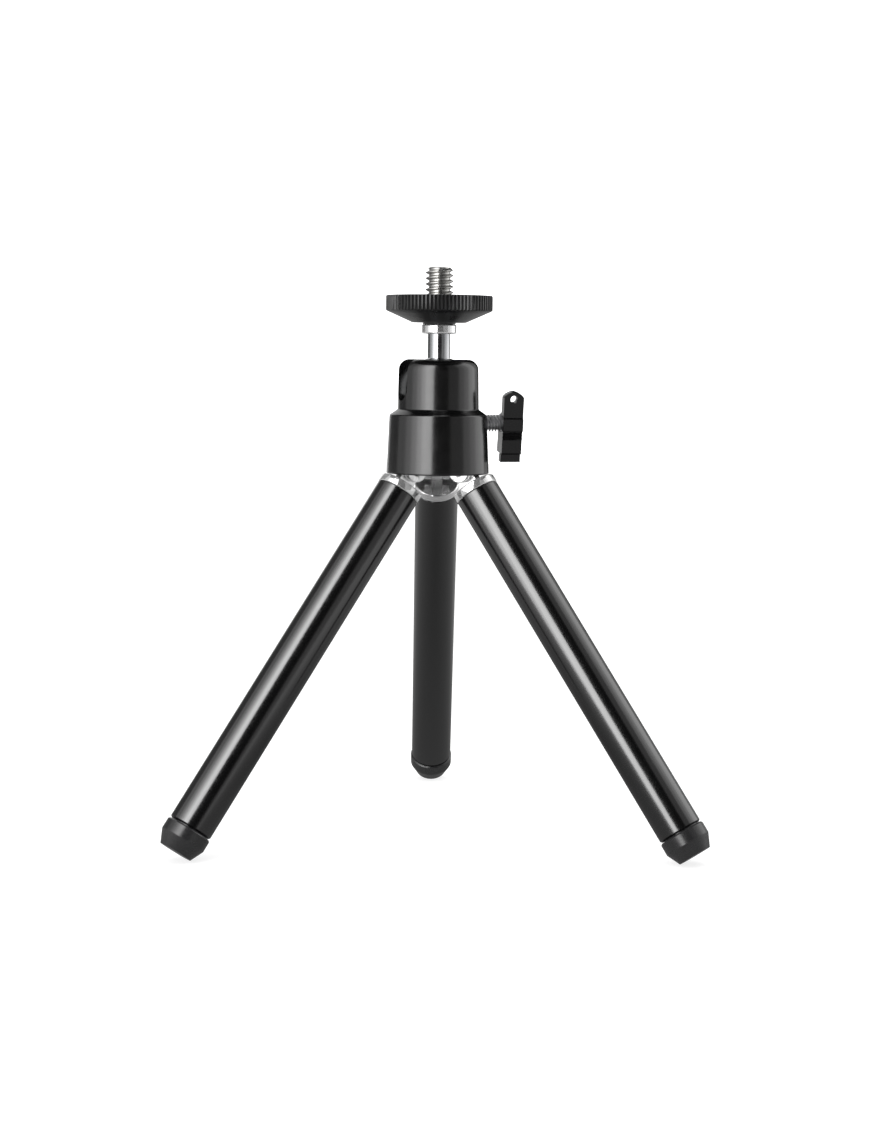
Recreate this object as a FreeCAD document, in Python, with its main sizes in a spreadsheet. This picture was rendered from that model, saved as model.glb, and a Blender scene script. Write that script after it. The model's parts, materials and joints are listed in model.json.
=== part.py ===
import FreeCAD, Part
import math
import os
import re

import Sketcher

# Tabletop tripod with a ball head. Millimetres, +Z up, origin on the table under the head's axis.
# Each leg is drawn along +Z with its hinge at the origin, and then turned out and down.

SIZES = [
    # Legs, measured along the leg from its hinge.
    ("splay", 35.5),
    ("hinge_circle", 7.0),
    ("leg_length", 100.19),
    ("cap_top", 3.94),
    ("cap_base", 5.84),
    ("cap_radius", 5.12),
    ("cap_plug_end", 13.1),
    ("tube_end", 94.24),
    ("tube_radius", 5.0),
    ("tube_bore", 4.15),
    ("plug_radius", 4.1),
    ("foot_band_top", 94.44),
    ("foot_band_end", 97.19),
    ("foot_radius", 5.22),
    ("foot_tip_radius", 3.8),
    ("foot_plug_top", 86.1),
    # Hinges.
    ("knuckle_radius", 2.4),
    ("tongue_thickness", 2.4),
    ("tongue_width", 4.0),
    ("ear_radius", 2.5),
    ("ear_gap", 2.6),
    ("ear_thickness", 1.6),
    ("hinge_pin_radius", 1.0),
    ("hinge_pin_length", 6.2),
    ("running_gap", 0.05),
    # Hub under the housing.
    ("hub_low", 87.3),
    ("hub_high", 89.55),
    ("hub_radius", 10.3),
    ("hub_screw_radius", 2.0),
    ("hub_screw_top", 91.0),
    ("hub_screw_head_radius", 3.4),
    ("hub_screw_head_low", 85.5),
    ("plug_low", 89.6),
    ("plug_high", 91.35),
    ("plug_disc_radius", 9.15),
    # Housing.
    ("housing_low", 83.1),
    ("housing_high", 109.0),
    ("skirt_radius", 11.68),
    ("skirt_bore", 10.35),
    ("plug_bore", 9.2),
    ("shoulder_low", 96.4),
    ("shoulder_high", 97.7),
    ("body_radius", 11.12),
    ("neck_base_radius", 9.25),
    ("neck_top_radius", 9.02),
    ("cavity_radius", 8.1),
    ("cavity_high", 99.6),
    ("opening_radius", 4.65),
    ("slot_radius", 2.8),
    ("slot_turn", 201.0),
    # Ball head.
    ("ball_centre", 102.4),
    ("ball_radius", 7.33),
    ("ball_flat", 109.2),
    ("ball_gap", 0.07),
    ("liner_radius", 7.92),
    ("liner_spread", 38.0),
    ("cup_low", 91.9),
    ("cup_high", 98.4),
    ("cup_radius", 8.02),
    ("cup_hollow", 7.98),
    ("stem_radius", 2.57),
    ("shank_radius", 1.9),
    ("shank_low", 103.6),
    ("collar_low", 114.75),
    ("collar_high", 116.93),
    ("collar_radius", 3.95),
    ("collar_edge", 0.35),
    ("stem_tip_radius", 2.2),
    # Camera stud, 1/4-20.
    ("stud_radius", 3.175),
    ("stud_pitch", 1.27),
    ("stud_root", 2.4),
    ("stud_core", 3.0),
    ("stud_thread_low", 123.35),
    ("stud_high", 129.75),
    ("stud_shank_radius", 1.5),
    ("stud_shank_low", 109.5),
    # Lock disc and its threaded insert.
    ("disc_high", 123.4),
    ("disc_rim_low", 120.1),
    ("disc_cone_low", 117.3),
    ("disc_low", 116.95),
    ("disc_radius", 12.12),
    ("disc_hub_radius", 6.1),
    ("disc_boss_radius", 3.75),
    ("disc_bore", 3.4),
    ("knurl_depth", 0.3),
    ("knurl_width", 0.5),
    ("knurl_count", 84),
    ("insert_low", 118.4),
    ("insert_high", 122.4),
    ("insert_radius", 4.6),
    ("insert_bore", 3.24),
    # Clamp screw, M4, drawn along +Z from the head's axis outwards.
    ("screw_turn", 12.0),
    ("screw_height", 94.6),
    ("screw_radius", 2.0),
    ("screw_root", 1.57),
    ("screw_pitch", 0.7),
    ("screw_inner", 8.3),
    ("screw_thread_end", 14.5),
    ("screw_outer", 18.5),
    ("screw_hole", 2.06),
    ("point_reach", 6.6),
    ("point_radius", 0.7),
    ("point_base_radius", 1.7),
    ("point_stalk_radius", 1.0),
    ("point_stalk_end", 10.4),
    ("point_gap", 0.12),
    # Wing knob on the clamp screw, drawn like the screw, with its tab along -X, its toe along +X
    # and its front along -Y.
    ("knob_lean", 8.0),
    ("knob_inner", 14.7),
    ("knob_depth", 4.65),
    ("knob_front", 2.5),
    ("hub_half", 2.85),
    ("hub_reach", 1.3),
    ("tab_reach", 7.55),
    ("tab_back", 0.3),
    ("tab_root", 2.6),
    ("tip_radius", 2.7),
    ("eye_reach", 5.85),
    ("eye_radius", 0.88),
    ("rib_low", 2.1),
    ("rib_step", 0.75),
    ("rib_depth", 0.28),
    ("wing_back", 2.3),
    ("toe_start", 6.9),
    ("toe_reach", 8.55),
    ("toe_shift", 0.4),
    ("toe_front", 2.95),
    ("toe_back", 1.2),
]

LEGS = [("back", 90.0), ("left", 210.0), ("right", 330.0)]
X_AXIS = FreeCAD.Vector(1, 0, 0)
Y_AXIS = FreeCAD.Vector(0, 1, 0)
Z_AXIS = FreeCAD.Vector(0, 0, 1)

doc = FreeCAD.newDocument("tripod")
sheet = doc.addObject("Spreadsheet::Sheet", "Sizes")
for row, (alias, size) in enumerate(SIZES, start=1):
    sheet.set(f"A{row}", alias)
    sheet.set(f"B{row}", str(size))
    sheet.setAlias(f"B{row}", alias)
doc.recompute()

node_parts = []


def cells(formula):
    """Point each size name in a formula at its cell."""
    return re.sub(r"[a-z_]+", lambda name: "Sizes." + name.group(), formula)


def size_of(formula):
    return float(sheet.evalExpression(cells(formula)))


def bind(thing, **formulas):
    for field, formula in formulas.items():
        thing.setExpression(field, cells(formula))
    return thing


def place(thing, x="0", y="0", z="0", axis=Z_AXIS, turn=0.0):
    thing.Placement = FreeCAD.Placement(
        FreeCAD.Vector(size_of(x), size_of(y), size_of(z)), FreeCAD.Rotation(axis, turn)
    )
    return thing


def node(name, thing, placement=None):
    """Register a finished piece under the name of its file."""
    thing.Label = name
    if placement is not None:
        thing.Placement = placement
    node_parts.append((name, thing))
    return thing


def cylinder(name, radius, low, high):
    rod = doc.addObject("Part::Cylinder", name)
    bind(rod, Radius=radius, Height=f"{high} - ({low})")
    return place(rod, z=low)


def cone(name, low_radius, high_radius, low, high):
    taper = doc.addObject("Part::Cone", name)
    bind(taper, Radius1=low_radius, Radius2=high_radius, Height=f"{high} - ({low})")
    return place(taper, z=low)


def sphere(name, radius, centre):
    ball = doc.addObject("Part::Sphere", name)
    bind(ball, Radius=radius)
    return place(ball, z=centre)


def block(name, x, y, z):
    """A box given by its (low, high) formulas along each axis."""
    box = doc.addObject("Part::Box", name)
    lengths = [f"{high} - ({low})" for low, high in (x, y, z)]
    bind(box, Length=lengths[0], Width=lengths[1], Height=lengths[2])
    return place(box, x=x[0], y=y[0], z=z[0])


def fuse(name, *pieces):
    joined = doc.addObject("Part::MultiFuse", name)
    joined.Shapes = list(pieces)
    joined.Refine = True
    return joined


def cut(name, base, *tools):
    trimmed = doc.addObject("Part::Cut", name)
    trimmed.Base = base
    trimmed.Tool = tools[0] if len(tools) == 1 else fuse(name + "_tools", *tools)
    return trimmed


def origin_plane(body, role):
    return [plane for plane in body.Origin.OriginFeatures if plane.Role == role][0]


def outline_sketch(body, name, plane, outline):
    """A closed outline of straight sides whose corners follow the sheet."""
    sketch = body.newObject("Sketcher::SketchObject", name)
    sketch.AttachmentSupport = (origin_plane(body, plane), [""])
    sketch.MapMode = "FlatFace"
    corners = [FreeCAD.Vector(size_of(x), size_of(y), 0) for x, y in outline]
    count = len(corners)
    for i, corner in enumerate(corners):
        sketch.addGeometry(Part.LineSegment(corner, corners[(i + 1) % count]), False)
    for i in range(count):
        sketch.addConstraint(Sketcher.Constraint("Coincident", i, 2, (i + 1) % count, 1))
    for i, sides in enumerate(outline):
        for kind, zero_axis, formula in zip(("DistanceX", "DistanceY"), (-2, -1), sides):
            if formula == "0":
                sketch.addConstraint(Sketcher.Constraint("PointOnObject", i, 1, zero_axis))
                continue
            size = size_of(formula)
            number = sketch.addConstraint(Sketcher.Constraint(kind, -1, 1, i, 1, size))
            sketch.setExpression(f"Constraints[{number}]", cells(formula))
    return sketch


def turned(name, outline):
    """Revolve an outline of (radius, height) corners about the upright axis."""
    body = doc.addObject("PartDesign::Body", name)
    sketch = outline_sketch(body, name + "_outline", "XZ_Plane", outline)
    turn = body.newObject("PartDesign::Revolution", name + "_turned")
    turn.Profile = sketch
    turn.ReferenceAxis = (sketch, ["V_Axis"])
    turn.Angle = 360.0
    sketch.Visibility = False
    doc.recompute()
    return body


def ring_edges(shape, radius, height):
    """The names of the round edges with this radius at this height."""
    names = []
    for i, edge in enumerate(shape.Edges, start=1):
        if not isinstance(edge.Curve, Part.Circle):
            continue
        centre = edge.Curve.Center
        if abs(edge.Curve.Radius - radius) < 1e-4 and abs(centre.z - height) < 1e-4:
            names.append(f"Edge{i}")
    return names


def round_edge(body, radius, height, amount):
    """Round one circular edge of a turned body."""
    names = ring_edges(body.Shape, size_of(radius), size_of(height))
    if not names:
        raise RuntimeError(f"{body.Name} has no edge of radius {radius} at {height}")
    rounded = body.Tip
    fillet = body.newObject("PartDesign::Fillet", body.Name + "_round")
    fillet.Base = (rounded, names)
    fillet.Radius = amount
    body.Tip = fillet
    doc.recompute()


def ring_thread(body, crest, root, pitch, low, count):
    """Cut evenly spaced V grooves, the straight stand-in for a thread."""
    middle = f"{low} + {pitch} * 0.5"
    sketch = outline_sketch(
        body,
        body.Name + "_groove",
        "XZ_Plane",
        [
            (f"{crest} + 0.1", f"{middle} - {pitch} * 0.49"),
            (root, f"{middle} - {pitch} * 0.09"),
            (root, f"{middle} + {pitch} * 0.09"),
            (f"{crest} + 0.1", f"{middle} + {pitch} * 0.49"),
        ],
    )
    groove = body.newObject("PartDesign::Groove", body.Name + "_thread")
    groove.Profile = sketch
    groove.ReferenceAxis = (sketch, ["V_Axis"])
    groove.Angle = 360.0
    doc.recompute()
    pattern = body.newObject("PartDesign::LinearPattern", body.Name + "_threads")
    pattern.Originals = [groove]
    pattern.Direction = (sketch, ["V_Axis"])
    pattern.Occurrences = count
    pattern.setExpression("Length", cells(f"{pitch} * {count - 1}"))
    body.Tip = pattern
    doc.recompute()


def turn_about_z(angle, x=0.0, z=0.0, tilt=0.0):
    """Place a piece at (x, z) in the upright plane at this angle, tilted about its own +Y."""
    around = FreeCAD.Placement(FreeCAD.Vector(), FreeCAD.Rotation(Z_AXIS, angle))
    out = FreeCAD.Placement(FreeCAD.Vector(x, 0, z), FreeCAD.Rotation(Y_AXIS, tilt))
    return around.multiply(out)


def hinge_height():
    """Lift the hinges so that the inner edge of each foot's end rests on the table."""
    splay = math.radians(size_of("splay"))
    drop = size_of("leg_length") * math.cos(splay)
    return drop + size_of("foot_tip_radius") * math.sin(splay)


def make_housing():
    shell = turned(
        "housing_blank",
        [
            ("skirt_bore", "housing_low"),
            ("skirt_radius", "housing_low"),
            ("body_radius", "shoulder_low"),
            ("neck_base_radius", "shoulder_high"),
            ("neck_top_radius", "housing_high"),
            ("opening_radius", "housing_high"),
            ("opening_radius", "ball_centre"),
            ("ball_radius + ball_gap", "ball_centre"),
            ("ball_radius + ball_gap", "cavity_high + 1"),
            ("cavity_radius", "cavity_high"),
            ("cavity_radius", "plug_high + 0.05"),
            ("plug_bore", "plug_high + 0.05"),
            ("plug_bore", "plug_low"),
            ("skirt_bore", "plug_low"),
        ],
    )
    round_edge(shell, "neck_top_radius", "housing_high", 2.4)
    round_edge(shell, "opening_radius", "housing_high", 0.5)
    round_edge(shell, "body_radius", "shoulder_low", 0.5)
    round_edge(shell, "neck_base_radius", "shoulder_high", 0.4)
    round_edge(shell, "skirt_radius", "housing_low", 0.3)
    seat = sphere("housing_seat", "ball_radius + ball_gap", "ball_centre")
    slot_end = cylinder("housing_slot_end", "slot_radius", "0", "skirt_radius")
    slot_end.Placement = turn_about_z(size_of("slot_turn"), z=size_of("ball_centre"), tilt=90)
    slot = block(
        "housing_slot",
        ("0", "skirt_radius"),
        ("0 - slot_radius", "slot_radius"),
        ("0", "housing_high"),
    )
    corner = FreeCAD.Placement(FreeCAD.Vector(0, -size_of("slot_radius"), 0), FreeCAD.Rotation())
    side = turn_about_z(size_of("slot_turn"), z=size_of("ball_centre"))
    slot.Placement = side.multiply(corner)
    hole = cylinder("housing_screw_hole", "screw_hole", "0", "skirt_radius + 1")
    hole.Placement = turn_about_z(size_of("screw_turn"), z=size_of("screw_height"), tilt=90)
    node("housing", cut("housing", shell, seat, slot_end, slot, hole))


def make_base():
    """The plug that closes the housing, the hub, its screw and the hinge pins."""
    disc = cylinder("plug_disc", "plug_disc_radius", "plug_low", "plug_high")
    thread = cylinder("plug_thread", "hub_screw_radius", "plug_low - 1", "plug_high + 1")
    node("base_plug", cut("base_plug", disc, thread))

    plate = cylinder("hub_plate", "hub_radius", "hub_low", "hub_high")
    solids = [plate]
    holes = [cylinder("hub_hole", "hub_screw_radius + running_gap", "hub_low - 1", "hub_high + 1")]
    for name, angle in LEGS:
        at_hinge = turn_about_z(angle, x=size_of("hinge_circle"), z=hinge_height())
        to_side = FreeCAD.Placement(FreeCAD.Vector(), FreeCAD.Rotation(X_AXIS, 90))
        for side, offset in (("one", "ear_gap * 0.5"), ("two", "0 - ear_gap * 0.5 - ear_thickness")):
            ear = cylinder(f"ear_{name}_{side}", "ear_radius", "0", "ear_thickness")
            lift = FreeCAD.Placement(FreeCAD.Vector(0, 0, size_of(offset)), FreeCAD.Rotation())
            ear.Placement = at_hinge.multiply(to_side).multiply(lift)
            web = block(
                f"web_{name}_{side}",
                ("0 - ear_radius", "ear_radius"),
                ("0", "ear_thickness"),
                ("0", f"hub_low + 0.5 - {hinge_height()}"),
            )
            start = FreeCAD.Vector(
                -size_of("ear_radius"), -size_of(offset) - size_of("ear_thickness"), 0
            )
            web.Placement = at_hinge.multiply(FreeCAD.Placement(start, FreeCAD.Rotation()))
            solids += [ear, web]
        bore = cylinder(f"ear_hole_{name}", "hinge_pin_radius", "0", "hinge_pin_length")
        middle = FreeCAD.Placement(
            FreeCAD.Vector(0, 0, -size_of("hinge_pin_length * 0.5")), FreeCAD.Rotation()
        )
        bore.Placement = at_hinge.multiply(to_side).multiply(middle)
        holes.append(bore)
        pin = cylinder(f"pin_{name}", "hinge_pin_radius", "0", "hinge_pin_length")
        node(f"hinge_pin_{name}", pin, bore.Placement)
    node("leg_hub", cut("leg_hub", fuse("hub_solid", *solids), *holes))

    screw = turned(
        "hub_screw_body",
        [
            ("0", "hub_screw_head_low"),
            ("hub_screw_head_radius - 0.5", "hub_screw_head_low"),
            ("hub_screw_head_radius", "hub_screw_head_low + 0.5"),
            ("hub_screw_head_radius", "hub_low"),
            ("hub_screw_radius", "hub_low"),
            ("hub_screw_radius", "hub_screw_top - 0.4"),
            ("hub_screw_radius - 0.4", "hub_screw_top"),
            ("0", "hub_screw_top"),
        ],
    )
    node("hub_screw", screw)


def make_leg(name, angle):
    splay = size_of("splay")
    down = turn_about_z(angle, x=size_of("hinge_circle"), z=hinge_height(), tilt=180 - splay)
    knuckle = cylinder(f"knuckle_{name}", "knuckle_radius", "0", "tongue_thickness")
    across = FreeCAD.Rotation(X_AXIS, -90)
    half = size_of("tongue_thickness * 0.5")
    knuckle.Placement = FreeCAD.Placement(FreeCAD.Vector(0, -half, 0), across)
    tongue = block(
        f"tongue_{name}",
        ("0 - tongue_width * 0.5", "tongue_width * 0.5"),
        ("0 - tongue_thickness * 0.5", "tongue_thickness * 0.5"),
        ("0", "cap_top + 0.5"),
    )
    disc = turned(
        f"cap_disc_{name}",
        [
            ("0", "cap_top"),
            ("cap_radius - 0.25", "cap_top"),
            ("cap_radius", "cap_top + 0.25"),
            ("cap_radius", "cap_base - 0.15"),
            ("cap_radius - 0.15", "cap_base"),
            ("plug_radius", "cap_base"),
            ("plug_radius", "cap_plug_end"),
            ("0", "cap_plug_end"),
        ],
    )
    bore = cylinder(
        f"knuckle_bore_{name}", "hinge_pin_radius + running_gap", "0", "tongue_thickness + 2"
    )
    bore.Placement = FreeCAD.Placement(FreeCAD.Vector(0, -half - 1, 0), across)
    cap = cut(f"cap_{name}", fuse(f"cap_solid_{name}", knuckle, tongue, disc), bore)
    node(f"leg_cap_{name}", cap, down)

    tube = turned(
        f"tube_{name}",
        [
            ("tube_bore", "cap_base + 0.02"),
            ("tube_radius - 0.2", "cap_base + 0.02"),
            ("tube_radius", "cap_base + 0.22"),
            ("tube_radius", "tube_end - 0.35"),
            ("tube_radius - 0.35", "tube_end"),
            ("tube_bore", "tube_end"),
        ],
    )
    node(f"leg_tube_{name}", tube, down)

    foot = turned(
        f"foot_body_{name}",
        [
            ("0", "foot_plug_top"),
            ("plug_radius", "foot_plug_top"),
            ("plug_radius", "foot_band_top"),
            ("foot_radius - 0.3", "foot_band_top"),
            ("foot_radius", "foot_band_top + 0.3"),
            ("foot_radius", "foot_band_end"),
            ("foot_tip_radius", "leg_length"),
            ("0", "leg_length"),
        ],
    )
    node(f"foot_{name}", foot, down)


def make_ball_head():
    ball = sphere("ball_solid", "ball_radius", "ball_centre")
    flat = cylinder("ball_flat_cut", "shank_radius + 3", "ball_flat", "ball_flat + 2")
    bore = cylinder("ball_bore", "shank_radius + running_gap", "shank_low - 0.1", "ball_flat + 1")
    node("ball", cut("ball", ball, flat, bore))

    stem = turned(
        "stem_body",
        [
            ("0", "shank_low"),
            ("shank_radius", "shank_low"),
            ("shank_radius", "ball_flat + running_gap"),
            ("stem_radius", "ball_flat + running_gap"),
            ("stem_radius", "collar_low"),
            ("stem_tip_radius", "collar_low"),
            ("stem_tip_radius", "collar_high"),
            ("stud_shank_radius", "collar_high"),
            ("stud_shank_radius", "stud_shank_low"),
            ("0", "stud_shank_low"),
        ],
    )
    node("stem", stem)

    collar = turned(
        "collar_body",
        [
            ("stem_tip_radius + running_gap", "collar_low + 0.03"),
            ("collar_radius", "collar_low + 0.03"),
            ("collar_radius", "collar_high - 0.03"),
            ("stem_tip_radius + running_gap", "collar_high - 0.03"),
        ],
    )
    edge = size_of("collar_edge")
    round_edge(collar, "collar_radius", "collar_low + 0.03", edge)
    round_edge(collar, "collar_radius", "collar_high - 0.03", edge)
    node("stem_collar", collar)

    stud = turned(
        "stud_body",
        [
            ("0", "stud_shank_low"),
            ("stud_shank_radius", "stud_shank_low"),
            ("stud_shank_radius", "collar_high"),
            ("stud_core", "collar_high"),
            ("stud_core", "stud_thread_low"),
            ("stud_radius", "stud_thread_low"),
            ("stud_radius", "stud_high - 0.6"),
            ("stud_root", "stud_high"),
            ("0", "stud_high"),
        ],
    )
    ring_thread(stud, "stud_radius", "stud_root", "stud_pitch", "stud_thread_low - 0.5", 5)
    node("camera_stud", stud)

    shell = cut(
        "liner_shell",
        sphere("liner_outside", "liner_radius", "ball_centre"),
        sphere("liner_inside", "ball_radius + ball_gap", "ball_centre"),
    )
    reach = f"{9 * math.tan(math.radians(size_of('liner_spread'))):.4f}"
    wedge = cone("liner_wedge", reach, "0", "ball_centre - 9", "ball_centre")
    liner = doc.addObject("Part::Common", "liner")
    liner.Base = shell
    liner.Tool = wedge
    node("ball_liner", liner)

    cup = cylinder("cup_solid", "cup_radius", "cup_low", "cup_high")
    hollow = sphere("cup_hollow_ball", "cup_hollow", "ball_centre")
    dimple = cone(
        "cup_dimple",
        "point_radius + point_gap",
        "point_base_radius + point_gap",
        "point_reach - 0.1",
        "screw_inner - 0.1",
    )
    dimple.Placement = screw_placement(size_of("point_reach") - 0.1)
    node("clamp_cup", cut("clamp_cup", cup, hollow, dimple))


def screw_placement(reach=0.0, roll=0.0):
    """Lay a piece drawn along +Z on the clamp screw's axis."""
    across = turn_about_z(size_of("screw_turn"), z=size_of("screw_height"), tilt=90)
    slide = FreeCAD.Placement(FreeCAD.Vector(0, 0, reach), FreeCAD.Rotation(Z_AXIS, roll))
    return across.multiply(slide)


def make_lock_disc():
    body = turned(
        "disc_body",
        [
            ("disc_bore", "disc_low"),
            ("disc_boss_radius", "disc_low"),
            ("disc_boss_radius", "disc_cone_low"),
            ("disc_hub_radius", "disc_cone_low"),
            ("disc_radius - 0.3", "disc_rim_low - 0.25"),
            ("disc_radius", "disc_rim_low"),
            ("disc_radius", "disc_high - 0.15"),
            ("disc_radius - 0.15", "disc_high"),
            ("disc_bore", "disc_high"),
            ("disc_bore", "insert_high + running_gap"),
            ("insert_radius + running_gap", "insert_high + running_gap"),
            ("insert_radius + running_gap", "insert_low - running_gap"),
            ("disc_bore", "insert_low - running_gap"),
        ],
    )
    valley = outline_sketch(
        body,
        "knurl_valley",
        "XY_Plane",
        [
            ("disc_radius - knurl_depth", "0"),
            ("disc_radius + 0.2", "knurl_width"),
            ("disc_radius + 0.2", "0 - knurl_width"),
        ],
    )
    before = body.Shape.Volume
    pocket = body.newObject("PartDesign::Pocket", "knurl_cut")
    pocket.Profile = valley
    pocket.Type = "ThroughAll"
    pocket.Reversed = True
    doc.recompute()
    ring = body.newObject("PartDesign::PolarPattern", "knurl")
    ring.Originals = [pocket]
    ring.Axis = (valley, ["N_Axis"])
    ring.Angle = 360.0
    bind(ring, Occurrences="knurl_count")
    body.Tip = ring
    doc.recompute()
    if body.Shape.Volume > before - 1.0:
        raise RuntimeError("the knurl has cut nothing from the disc")
    node("lock_disc", body)

    nut = cylinder("insert_solid", "insert_radius", "insert_low", "insert_high")
    bore = cylinder("insert_bore_cut", "insert_bore", "insert_low - 1", "insert_high + 1")
    node("disc_insert", cut("disc_insert", nut, bore))


def make_clamp_screw():
    screw = turned(
        "screw_body",
        [
            ("point_stalk_radius + running_gap", "screw_inner"),
            ("screw_radius", "screw_inner"),
            ("screw_radius", "screw_outer"),
            ("0", "screw_outer"),
            ("0", "point_stalk_end + 0.1"),
            ("point_stalk_radius + running_gap", "point_stalk_end + 0.1"),
        ],
    )
    ring_thread(screw, "screw_radius", "screw_root", "screw_pitch", "screw_inner + 0.1", 8)
    node("thumb_screw", screw, screw_placement())

    point = turned(
        "point_body",
        [
            ("0", "point_reach"),
            ("point_radius", "point_reach"),
            ("point_base_radius", "screw_inner - 0.05"),
            ("point_stalk_radius", "screw_inner - 0.05"),
            ("point_stalk_radius", "point_stalk_end"),
            ("0", "point_stalk_end"),
        ],
    )
    node("pressure_point", point, screw_placement())

    # The knob's outline as seen along the screw: its back, and then its ribbed front.
    outline = [
        ("0 - tab_reach", "0 - tab_back"),
        ("0 - tab_root", "0 - tab_back"),
        ("0 - hub_reach", "hub_half"),
        ("hub_reach", "hub_half"),
        ("rib_low + rib_step", "wing_back - 0.3"),
        ("toe_start - 1.5", "wing_back"),
        ("toe_start", "wing_back - 0.1"),
        ("toe_start", "0 - knob_front + rib_depth"),
        ("rib_low + rib_step * 2", "0 - knob_front + rib_depth"),
        ("rib_low + rib_step * 1.5", "0 - knob_front"),
        ("rib_low + rib_step", "0 - knob_front + rib_depth"),
        ("rib_low + rib_step * 0.5", "0 - knob_front"),
        ("rib_low", "0 - knob_front + rib_depth"),
        ("hub_reach", "0 - hub_half"),
        ("0 - hub_reach", "0 - hub_half"),
        ("0 - hub_reach - 0.3", "0 - knob_front"),
        ("0 - tab_reach", "0 - knob_front"),
    ]
    bar = doc.addObject("PartDesign::Body", "knob_bar")
    sketch = outline_sketch(bar, "knob_outline", "XY_Plane", outline)
    pad = bar.newObject("PartDesign::Pad", "knob_pad")
    pad.Profile = sketch
    bind(pad, Length="knob_depth")
    place(bar, z="knob_inner")

    tip_centre = "0 - tab_reach + tip_radius"
    middle = "knob_inner + knob_depth * 0.5"
    envelope = block(
        "knob_envelope",
        (tip_centre, "toe_start + 1"),
        ("0 - hub_half - 1", "hub_half + 1"),
        ("knob_inner - 1", "knob_inner + knob_depth + 1"),
    )
    tip = cylinder("knob_tip", "tip_radius", "0", "hub_half * 2 + 2")
    eye = cylinder("knob_eye", "eye_radius", "0", "hub_half * 2 + 2")
    for rod, centre in ((tip, tip_centre), (eye, "0 - eye_reach")):
        place(rod, x=centre, y="0 - hub_half - 1", z=middle, axis=X_AXIS, turn=-90)
    rounded = doc.addObject("Part::Common", "knob_rounded")
    rounded.Base = bar
    rounded.Tool = fuse("knob_limits", envelope, tip)
    toe = block(
        "knob_toe",
        ("toe_start - 0.1", "toe_reach"),
        ("0 - toe_front", "0 - toe_back"),
        ("knob_inner - toe_shift", "knob_inner + knob_depth - toe_shift"),
    )
    shank = cylinder("knob_shank_hole", "screw_radius", "knob_inner - 1", "screw_outer")
    knob = cut("thumb_knob", fuse("knob_solid", rounded, toe), shank, eye)
    node("thumb_knob", knob, screw_placement(roll=size_of("knob_lean")))


make_housing()
make_base()
for leg_name, leg_angle in LEGS:
    make_leg(leg_name, leg_angle)
make_ball_head()
make_lock_disc()
make_clamp_screw()
doc.recompute()

faults = [thing.Label for thing in doc.Objects if {"Invalid", "Error"} & set(thing.State)]
for name, thing in node_parts:
    if thing.Shape.isNull() or not thing.Shape.isValid() or len(thing.Shape.Solids) != 1:
        faults.append(name)
if faults:
    raise RuntimeError("these objects failed: " + ", ".join(faults))

os.makedirs("parts", exist_ok=True)
for name, thing in node_parts:
    thing.Shape.exportStep(f"parts/{name}.step")
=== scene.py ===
"""Looks for a mini tabletop tripod with a ball head.

Black paint, chrome, steel threads, moulded plastic and rubber, in a white studio.
"""

import json
import math

import bmesh
import bpy
from mathutils import Matrix, Vector


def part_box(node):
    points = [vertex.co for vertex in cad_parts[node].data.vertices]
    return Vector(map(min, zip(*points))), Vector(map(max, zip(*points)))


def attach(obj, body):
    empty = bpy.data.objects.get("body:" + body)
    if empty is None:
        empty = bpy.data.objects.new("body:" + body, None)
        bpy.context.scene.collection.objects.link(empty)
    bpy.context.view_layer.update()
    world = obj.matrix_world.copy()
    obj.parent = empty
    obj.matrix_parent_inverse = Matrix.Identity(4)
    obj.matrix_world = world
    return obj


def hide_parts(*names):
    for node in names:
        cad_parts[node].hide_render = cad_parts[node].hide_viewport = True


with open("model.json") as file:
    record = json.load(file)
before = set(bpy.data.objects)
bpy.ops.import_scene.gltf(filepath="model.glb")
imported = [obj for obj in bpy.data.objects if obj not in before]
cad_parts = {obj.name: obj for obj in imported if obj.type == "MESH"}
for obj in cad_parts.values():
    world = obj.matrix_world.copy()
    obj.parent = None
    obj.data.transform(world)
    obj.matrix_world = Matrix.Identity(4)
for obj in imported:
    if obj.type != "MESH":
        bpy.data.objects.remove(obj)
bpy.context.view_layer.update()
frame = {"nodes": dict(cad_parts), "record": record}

MM = 0.001
LEGS = ("back", "left", "right")

# The size of the patches of colour and of gloss in every finish.
PATCH_MM = 9.0
SMUDGE_MM = 3.0


# ---------------------------------------------------------------- materials


def new_material(name):
    """A node material and its Principled shader."""
    material = bpy.data.materials.new(name)
    material.use_nodes = True
    return material, material.node_tree.nodes["Principled BSDF"]


def add_node(material, kind, **fields):
    """A new node of this kind in the material, with its fields set."""
    node = material.node_tree.nodes.new(kind)
    for field, value in fields.items():
        setattr(node, field, value)
    return node


def noise(material, size_mm, detail=2.0, stretch=(1.0, 1.0, 1.0)):
    """A noise texture whose blobs are about size_mm across, in the object's own space."""
    coordinates = add_node(material, "ShaderNodeTexCoord")
    mapping = add_node(material, "ShaderNodeMapping")
    mapping.inputs["Scale"].default_value = [s / (size_mm * MM) for s in stretch]
    texture = add_node(material, "ShaderNodeTexNoise")
    texture.inputs["Scale"].default_value = 1.0
    texture.inputs["Detail"].default_value = detail
    link = material.node_tree.links.new
    link(coordinates.outputs["Object"], mapping.inputs["Vector"])
    link(mapping.outputs["Vector"], texture.inputs["Vector"])
    return texture.outputs["Fac"]


def spread(material, value, low, high):
    """Map a 0 to 1 value onto low to high."""
    scale = add_node(material, "ShaderNodeMapRange")
    scale.inputs["From Min"].default_value = 0.3
    scale.inputs["From Max"].default_value = 0.7
    scale.inputs["To Min"].default_value = low
    scale.inputs["To Max"].default_value = high
    material.node_tree.links.new(value, scale.inputs["Value"])
    return scale.outputs["Result"]


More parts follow.
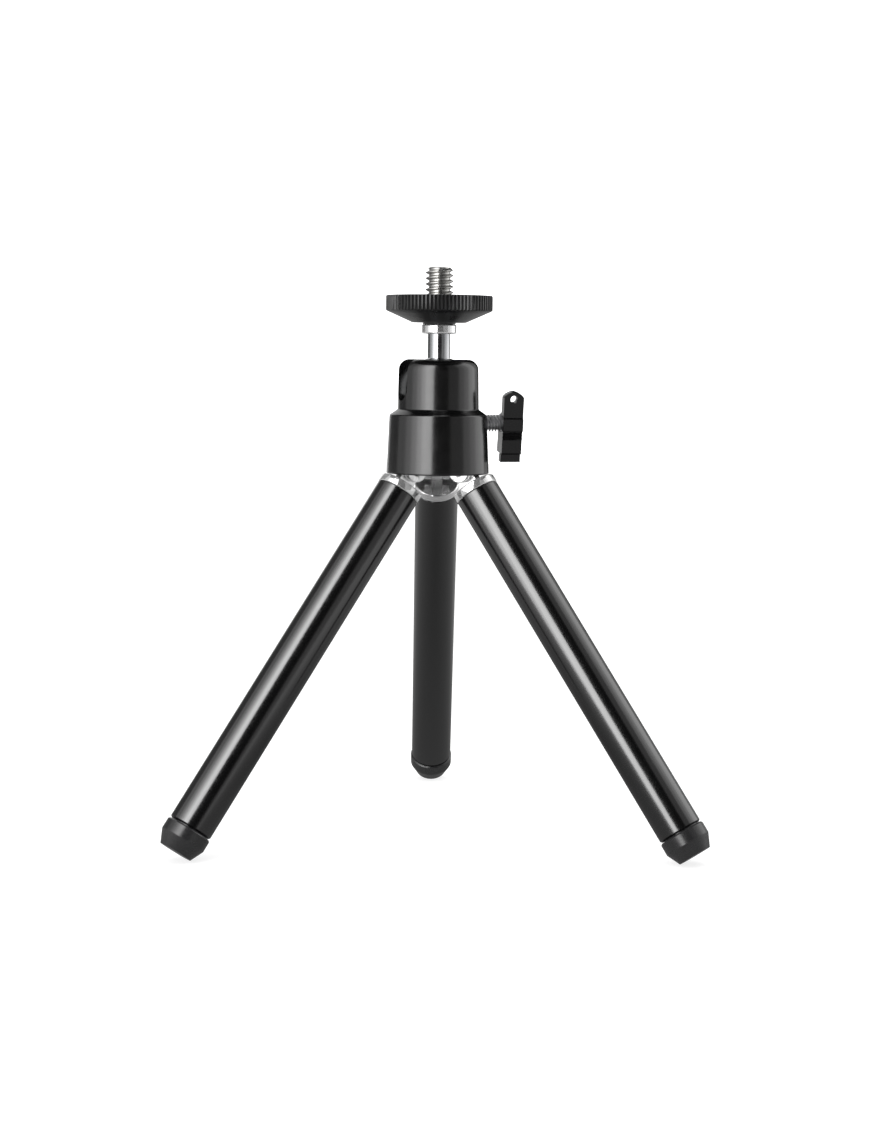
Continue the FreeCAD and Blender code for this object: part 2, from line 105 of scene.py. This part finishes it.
def bump(material, shader, height, depth_mm):
    """Raise the surface by up to depth_mm where height is 1."""
    relief = add_node(material, "ShaderNodeBump")
    relief.inputs["Strength"].default_value = 1.0
    relief.inputs["Distance"].default_value = depth_mm * MM
    material.node_tree.links.new(height, relief.inputs["Height"])
    material.node_tree.links.new(relief.outputs["Normal"], shader.inputs["Normal"])


def tinted(material, shader, value, dark, light):
    """Vary the base colour a little between two colours."""
    ramp = add_node(material, "ShaderNodeValToRGB")
    ramp.color_ramp.elements[0].position = 0.3
    ramp.color_ramp.elements[1].position = 0.7
    ramp.color_ramp.elements[0].color = (*dark, 1.0)
    ramp.color_ramp.elements[1].color = (*light, 1.0)
    material.node_tree.links.new(value, ramp.inputs["Fac"])
    material.node_tree.links.new(ramp.outputs["Color"], shader.inputs["Base Color"])


def coating(name, dark, light, gloss, grain, metallic=0.0, index=1.5, stretch=(1, 1, 1)):
    """A finish with a fine grain, slightly uneven gloss and slightly uneven colour.

    gloss is the lowest and highest roughness, grain is the relief's size and depth in millimetres, and
    index is the index of refraction, which sets how much a paint or plastic reflects.
    """
    material, shader = new_material(name)
    shader.inputs["Metallic"].default_value = metallic
    shader.inputs["IOR"].default_value = index
    tinted(material, shader, noise(material, PATCH_MM), dark, light)
    uneven = spread(material, noise(material, SMUDGE_MM, 3.0, stretch), *gloss)
    material.node_tree.links.new(uneven, shader.inputs["Roughness"])
    grain_size, grain_depth = grain
    bump(material, shader, noise(material, grain_size, 2.0, stretch), grain_depth)
    return material


housing_paint = coating(
    "housing_paint",
    dark=(0.001, 0.001, 0.0011),
    light=(0.0016, 0.0016, 0.0017),
    gloss=(0.18, 0.22),
    grain=(0.3, 0.0025),
    index=1.8,
)
leg_paint = coating(
    "leg_paint",
    dark=(0.001, 0.001, 0.0011),
    light=(0.0016, 0.0016, 0.0017),
    gloss=(0.16, 0.19),
    grain=(0.5, 0.001),
    index=2.2,
)
# The ball's chrome is drawn much darker than chrome, all over. This is painted shade, so the ball looks
# dark inside the housing's slot.
ball_chrome_painted_shade = coating(
    "ball_chrome_painted_shade",
    dark=(0.24, 0.245, 0.25),
    light=(0.32, 0.325, 0.33),
    gloss=(0.16, 0.24),
    grain=(0.6, 0.003),
    metallic=1.0,
)
turned_chrome = coating(
    "turned_chrome",
    dark=(0.44, 0.45, 0.46),
    light=(0.56, 0.57, 0.58),
    gloss=(0.12, 0.18),
    grain=(0.25, 0.004),
    metallic=1.0,
    stretch=(0.1, 0.1, 1.0),
)
satin_chrome = coating(
    "satin_chrome",
    dark=(0.88, 0.88, 0.88),
    light=(0.94, 0.94, 0.94),
    gloss=(0.09, 0.15),
    grain=(0.4, 0.002),
    metallic=0.86,
)
stud_steel = coating(
    "stud_steel",
    dark=(0.52, 0.515, 0.50),
    light=(0.62, 0.615, 0.60),
    gloss=(0.24, 0.32),
    grain=(0.4, 0.0008),
    metallic=1.0,
)
screw_steel = coating(
    "steel",
    dark=(0.50, 0.50, 0.51),
    light=(0.62, 0.62, 0.63),
    gloss=(0.26, 0.34),
    grain=(0.3, 0.002),
    metallic=1.0,
)
brass = coating(
    "brass",
    dark=(0.55, 0.40, 0.18),
    light=(0.62, 0.46, 0.22),
    gloss=(0.2, 0.3),
    grain=(0.3, 0.004),
    metallic=1.0,
)
disc_plastic = coating(
    "disc_plastic",
    dark=(0.002, 0.002, 0.0022),
    light=(0.0035, 0.0035, 0.0037),
    gloss=(0.26, 0.34),
    grain=(0.25, 0.006),
    index=1.6,
)
knob_plastic = coating(
    "knob_plastic",
    dark=(0.0015, 0.0015, 0.0017),
    light=(0.0025, 0.0025, 0.0027),
    gloss=(0.14, 0.20),
    grain=(0.8, 0.004),
)
liner_plastic = coating(
    "liner_plastic",
    dark=(0.72, 0.70, 0.64),
    light=(0.78, 0.76, 0.70),
    gloss=(0.4, 0.5),
    grain=(0.4, 0.006),
)
foot_rubber = coating(
    "foot_rubber",
    dark=(0.012, 0.012, 0.0125),
    light=(0.018, 0.018, 0.0185),
    gloss=(0.20, 0.28),
    grain=(0.22, 0.004),
    index=1.7,
)


def paint(names, material):
    """Give these CAD nodes this material."""
    for name in names:
        thing = frame["nodes"][name]
        thing.data.materials.clear()
        thing.data.materials.append(material)


def each_leg(stem):
    """The three legs' node names for one kind of piece."""
    return [f"{stem}_{leg}" for leg in LEGS]


paint(["housing"], housing_paint)
paint(each_leg("leg_tube"), leg_paint)
# The ball gets the darkened chrome, as painted shade inside the slot.
paint(["ball"], ball_chrome_painted_shade)
paint(["leg_hub", "stem_collar", *each_leg("leg_cap")], satin_chrome)
paint(["stem"], turned_chrome)
paint(["camera_stud"], stud_steel)
paint(["base_plug", "hub_screw", "thumb_screw", *each_leg("hinge_pin")], screw_steel)
paint(["clamp_cup", "disc_insert", "pressure_point"], brass)
paint(["lock_disc"], disc_plastic)
paint(["thumb_knob"], knob_plastic)
paint(["ball_liner"], liner_plastic)
paint(each_leg("foot"), foot_rubber)


# ------------------------------------------------------------------- pieces


def soften(name, width_mm, angle=30.0, segments=3):
    """Break a CAD node's sharp edges with a small round."""
    thing = frame["nodes"][name]
    weld = thing.modifiers.new("weld", "WELD")
    weld.merge_threshold = 1e-6
    bevel = thing.modifiers.new("edges", "BEVEL")
    bevel.width = width_mm * MM
    bevel.segments = segments
    bevel.angle_limit = math.radians(angle)
    bevel.harden_normals = True
    bevel.use_clamp_overlap = True


# A 60 degree thread's flats and flanks, as shares of its pitch.
ROOT_FLAT = 0.25
CREST_FLAT = 0.125
FLANK = 0.3125


def thread_radius(turn, crest, root):
    """The radius of a 60 degree thread at a fraction of its pitch."""
    turn = turn % 1.0
    if turn < ROOT_FLAT:
        return root
    if turn < ROOT_FLAT + FLANK:
        return root + (crest - root) * (turn - ROOT_FLAT) / FLANK
    if turn < ROOT_FLAT + CREST_FLAT + FLANK:
        return crest
    return crest - (crest - root) * (turn - ROOT_FLAT - CREST_FLAT - FLANK) / FLANK


def threaded_rod(name, crest, root, pitch, low, high, lead_in):
    """A rod along +Z with a true right-handed helical thread and a chamfered top end."""
    around = 72
    steps = 16
    turns = math.ceil((high - low) / pitch) + 2
    mesh = bmesh.new()
    rows = []
    for i in range(turns * around + 1):
        angle = 2 * math.pi * i / around
        start = low - pitch + pitch * i / around
        row = []
        for j in range(steps + 1):
            z = start + pitch * j / steps
            radius = min(thread_radius(j / steps, crest, root), root - lead_in + (high - z))
            radius = max(radius, 0.5 * root)
            row.append(mesh.verts.new((radius * math.cos(angle), radius * math.sin(angle), z)))
        rows.append(row)
    for here, there in zip(rows, rows[1:]):
        for j in range(steps):
            mesh.faces.new((here[j], there[j], there[j + 1], here[j + 1]))
    bmesh.ops.remove_doubles(mesh, verts=mesh.verts, dist=1e-5)
    for height, side in ((high, 1), (low, -1)):
        everything = mesh.verts[:] + mesh.edges[:] + mesh.faces[:]
        bmesh.ops.bisect_plane(
            mesh, geom=everything, plane_co=(0, 0, height), plane_no=(0, 0, side), clear_outer=True
        )
        rim = [
            edge for edge in mesh.edges if edge.is_boundary and abs(edge.verts[0].co.z - height) < 1e-4
        ]
        bmesh.ops.holes_fill(mesh, edges=rim, sides=0)
    bmesh.ops.recalc_face_normals(mesh, faces=mesh.faces)
    bmesh.ops.scale(mesh, vec=(MM, MM, MM), verts=mesh.verts)
    data = bpy.data.meshes.new(name)
    mesh.to_mesh(data)
    mesh.free()
    thing = bpy.data.objects.new(name, data)
    bpy.context.collection.objects.link(thing)
    data.shade_smooth()
    edges = thing.modifiers.new("sharp", "EDGE_SPLIT")
    edges.split_angle = math.radians(50)
    return thing


stem_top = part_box("stem")[1][2] / MM
stud_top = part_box("camera_stud")[1][2] / MM
stud = threaded_rod("stud_thread", 3.175, 2.42, 1.27, low=stem_top + 0.02, high=stud_top, lead_in=0.02)
stud.data.materials.append(stud_steel)
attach(stud, "stem_turn")
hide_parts("camera_stud")

# The clamp screw lies along its joint's axis, between its inner end and the knob's outer face.
joints = {joint["name"]: joint for joint in frame["record"]["behaviour"]["joints"]}
turn_joint = joints["clamp_screw_turn"]
outwards = Vector(turn_joint["axis"])
on_axis = Vector(turn_joint["pos_m"])
axis_foot = on_axis - outwards * on_axis.dot(outwards)
screw = threaded_rod("clamp_thread", 1.98, 1.5, 0.7, low=8.35, high=18.45, lead_in=0.05)
laid_along = outwards.to_track_quat("Z", "Y").to_matrix().to_4x4()
screw.data.transform(Matrix.Translation(axis_foot) @ laid_along)
screw.data.materials.append(screw_steel)
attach(screw, "clamp_screw")
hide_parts("thumb_screw")

for name in ("leg_hub", *each_leg("leg_cap")):
    soften(name, 0.18)
soften("thumb_knob", 0.3)
soften("lock_disc", 0.05, angle=25.0, segments=2)


# -------------------------------------------------------------------- stage


# Softbox strips round the tripod: degrees right of the camera where each starts and ends, and how bright.
STRIPS = [
    (-180, -150, 0.8),
    (-150, -105, 0.12),
    (-105, -80, 0.5),
    (-80, -64, 1.0),
    (-64, -50, 1.8),
    (-50, -38, 3.0),
    (-38, -26, 4.2),
    (-26, -14, 4.0),
    (28, 60, 0.20),
    (60, 78, 0.6),
    (78, 95, 0.9),
    (95, 128, 1.4),
    (128, 150, 0.4),
]
RING = 1.0
STRIP_HEIGHT = 1.3


def add_object(name, data):
    """An object made of this data, in the scene."""
    thing = bpy.data.objects.new(name, data)
    bpy.context.collection.objects.link(thing)
    return thing


def softbox(start, end, brightness):
    """An upright strip of light that faces the tripod from a ring round it."""
    light = bpy.data.lights.new("softbox", "AREA")
    light.shape = "RECTANGLE"
    light.size = 2 * RING * math.tan(math.radians(end - start) / 2)
    light.size_y = STRIP_HEIGHT
    light.energy = brightness * math.pi * light.size * light.size_y
    lamp = add_object("softbox", light)
    middle = math.radians((start + end) / 2)
    lamp.location = (RING * math.sin(middle), -RING * math.cos(middle), STRIP_HEIGHT / 2)
    lamp.rotation_euler = (math.pi / 2, 0, middle)
    hide_from(lamp, "camera")


def hide_from(thing, *rays):
    """Keep these kinds of ray from seeing a light or a mesh."""
    for ray in rays:
        setattr(thing, f"visible_{ray}", False)


def stage_mesh(name, corners, faces, material):
    """A part of the studio, which isn't part of the tripod."""
    data = bpy.data.meshes.new(name)
    data.from_pydata(corners, [], faces)
    thing = add_object(name, data)
    thing.data.materials.append(material)
    return thing


def glowing(name, white, glow):
    """Paper of this whiteness that also glows evenly by itself, by this much."""
    material, shader = new_material(name)
    shader.inputs["Base Color"].default_value = (white, white, white, 1)
    shader.inputs["Roughness"].default_value = 0.9
    shader.inputs["Specular IOR Level"].default_value = 0.0
    shader.inputs["Emission Color"].default_value = (1, 1, 1, 1)
    shader.inputs["Emission Strength"].default_value = glow
    return material


def graded_card(near, far, reach):
    """A card that glows by near in its middle and by far beyond this reach."""
    material, shader = new_material("grey_card")
    shader.inputs["Base Color"].default_value = (0, 0, 0, 1)
    shader.inputs["Specular IOR Level"].default_value = 0.0
    shader.inputs["Emission Color"].default_value = (1, 1, 1, 1)
    place = add_node(material, "ShaderNodeTexCoord")
    distance = add_node(material, "ShaderNodeVectorMath", operation="LENGTH")
    grade = add_node(material, "ShaderNodeMapRange")
    grade.inputs["From Max"].default_value = reach
    grade.inputs["To Min"].default_value = near
    grade.inputs["To Max"].default_value = far
    link = material.node_tree.links.new
    link(place.outputs["Object"], distance.inputs[0])
    link(distance.outputs["Value"], grade.inputs["Value"])
    link(grade.outputs["Result"], shader.inputs["Emission Strength"])
    return material


for strip in STRIPS:
    softbox(*strip)

sun = add_object("overhead", bpy.data.lights.new("overhead", "SUN"))
sun.data.energy = 2.4
sun.data.angle = math.radians(70)
hide_from(sun, "glossy")
top = add_object("top_light", bpy.data.lights.new("top_light", "AREA"))
top.data.size = 0.4
top.data.energy = 2.5
top.location = (0, 0, 1.2)
hide_from(top, "camera")

# A round white floor and a white wall round it. Polished parts see a grey card under the floor instead.
WALL = 1.7
WALL_HEIGHT = 4.0
CARD_DEPTH = 0.001
SIDES = 96
steps = [2 * math.pi * i / SIDES for i in range(SIDES)]
circle = [(WALL * math.cos(step), WALL * math.sin(step)) for step in steps]
whole = [tuple(range(SIDES))]
floor = stage_mesh("floor", [(x, y, 0) for x, y in circle], whole, glowing("floor_paper", 0.35, 0.8))
hide_from(floor, "glossy")
card_paper = graded_card(near=0.13, far=0.48, reach=0.27)
card = stage_mesh("grey_card", [(x, y, -CARD_DEPTH) for x, y in circle], whole, card_paper)
hide_from(card, "camera", "diffuse", "shadow")
rings = [(x, y, z) for z in (0, WALL_HEIGHT) for x, y in circle]
panels = [(i, (i + 1) % SIDES, (i + 1) % SIDES + SIDES, i + SIDES) for i in range(SIDES)]
wall = stage_mesh("wall", rings, panels, glowing("wall_paper", 0.9, 1.05))
hide_from(wall, "glossy", "diffuse", "shadow")

world = bpy.data.worlds.new("studio")
bpy.context.scene.world = world
world.use_nodes = True
world.node_tree.nodes["Background"].inputs["Color"].default_value = (0.01, 0.01, 0.01, 1)

# The camera stands half a metre in front, a little above mid-height, turned to its subject.
camera_data = bpy.data.cameras.new("camera")
camera_data.lens = 69.46
camera_data.sensor_width = 36.0
camera_data.clip_start = 0.01
camera_data.clip_end = 50.0
camera = add_object("camera", camera_data)
camera.rotation_mode = "QUATERNION"
camera.location = (-0.00713, -0.49822, 0.11056)
heading = Matrix.Rotation(math.radians(-0.78), 4, "Z")
pitch = Matrix.Rotation(math.radians(90.0 - 5.575), 4, "X")
roll = Matrix.Rotation(math.radians(0.62), 4, "Z")
camera.rotation_quaternion = (heading @ pitch @ roll).to_quaternion()
bpy.context.scene.camera = camera
bpy.context.scene.view_settings.view_transform = "Standard"
